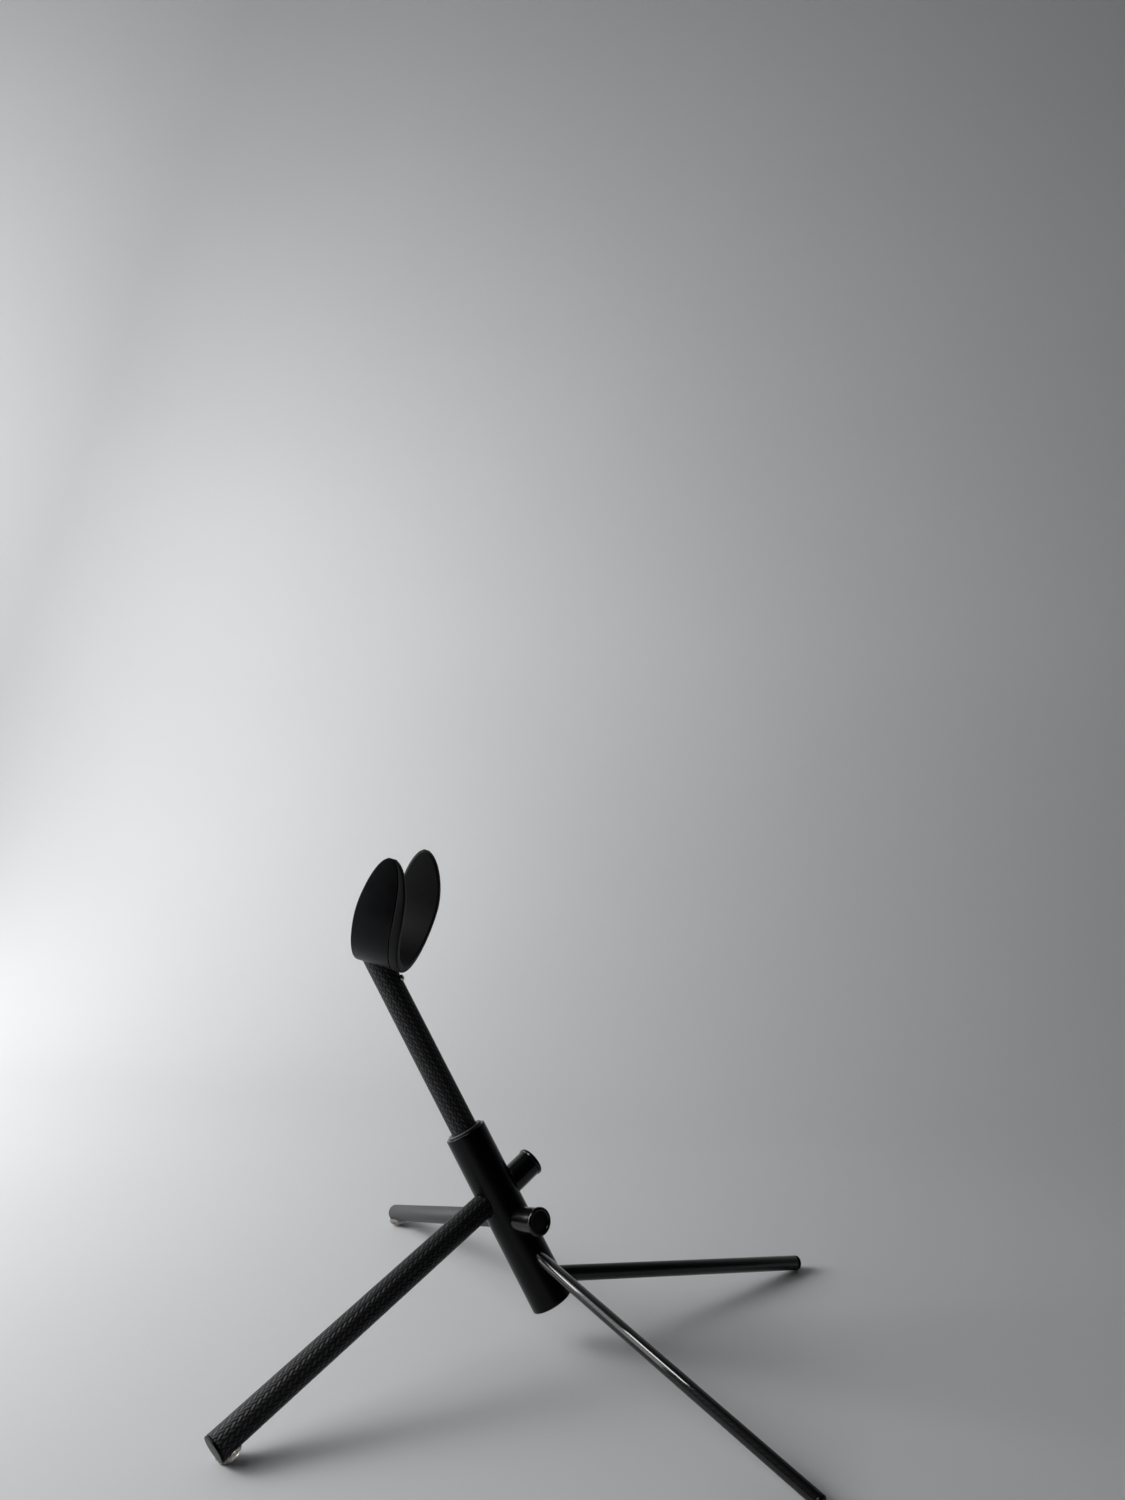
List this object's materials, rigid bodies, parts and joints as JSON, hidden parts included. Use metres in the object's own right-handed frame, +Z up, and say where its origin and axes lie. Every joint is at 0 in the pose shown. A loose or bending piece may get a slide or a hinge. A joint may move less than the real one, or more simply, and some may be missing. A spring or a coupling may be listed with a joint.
{
  "type": "saxophone stand",
  "caption": "Compact leaning saxophone stand: a round hub bar with plug-in tube legs, sleeved rest pegs, a tube mast and a padded U cradle.",
  "frame": {"origin": "on the ground, at the bottom centre of the stand's box", "axes": "+Z up, +X from the cradle's side towards the saxophone's body, +Y away from the two left legs"},
  "size_m": [0.3272, 0.3268, 0.314],
  "materials": {
    "hub_acetal": "turned satin black engineering plastic",
    "bush_acetal": "turned dark grey plastic",
    "carbon_twill": "woven carbon tube, two-by-two twill under a satin clear coat",
    "carbon_wrapped": "wrapped carbon tube with fine round-going grooves",
    "carbon_gloss": "woven carbon tube under a gloss clear coat",
    "carbon_satin": "satin black carbon tube",
    "band_black": "smooth satin black",
    "rubber_black": "soft black rubber",
    "cap_black": "moulded black plastic",
    "steel": "bright small hardware",
    "silicone_clear": "clear soft silicone, slightly brown"
  },
  "bodies": {
    "hub": {"hub_body": "hub_acetal", "right_rest_pin": "hub_acetal", "left_rest_pin": "hub_acetal", "right_rest_sleeve": "rubber_black", "left_rest_sleeve": "rubber_black"},
    "bush": {"mast_bush": "bush_acetal"},
    "mast": {"mast_tube": "carbon_twill", "mast_head_plug": "hub_acetal", "mast_head_pin": "steel", "cradle_band": "band_black", "cradle_pad": "rubber_black", "cradle_screw": "steel"},
    "front_left_leg": {"front_left_leg_tube": "carbon_twill", "front_left_leg_cap": "cap_black", "front_left_bumper": "silicone_clear"},
    "front_right_leg": {"front_right_leg_tube": "carbon_wrapped", "front_right_leg_cap": "cap_black", "front_right_bumper": "silicone_clear"},
    "rear_left_leg": {"rear_left_leg_tube": "carbon_gloss", "rear_left_leg_cap": "cap_black"},
    "rear_right_leg": {"rear_right_leg_tube": "carbon_satin", "rear_right_leg_cap": "cap_black"}
  },
  "joints": [
    {"name": "mast_swivel", "type": "hinge", "parent": "hub", "child": "bush", "pos_m": [-0.06112, 0.00084, 0.13201], "axis": [-0.497, 0, 0.8678], "continuous": true},
    {"name": "mast_pull", "type": "slide", "parent": "bush", "child": "mast", "axis": [-0.497, 0, 0.8678], "range_m": [0, 0.034]},
    {"name": "front_left_leg_pull", "type": "slide", "parent": "hub", "child": "front_left_leg", "axis": [-0.5488, -0.7381, -0.3925], "range_m": [0, 0.02]},
    {"name": "front_right_leg_pull", "type": "slide", "parent": "hub", "child": "front_right_leg", "axis": [-0.5904, 0.7381, -0.3265], "range_m": [0, 0.02]},
    {"name": "rear_left_leg_pull", "type": "slide", "parent": "hub", "child": "rear_left_leg", "axis": [0.7758, -0.5801, -0.2481], "range_m": [0, 0.03]},
    {"name": "rear_right_leg_pull", "type": "slide", "parent": "hub", "child": "rear_right_leg", "axis": [0.771, 0.6134, -0.1714], "range_m": [0, 0.03]}
  ]
}
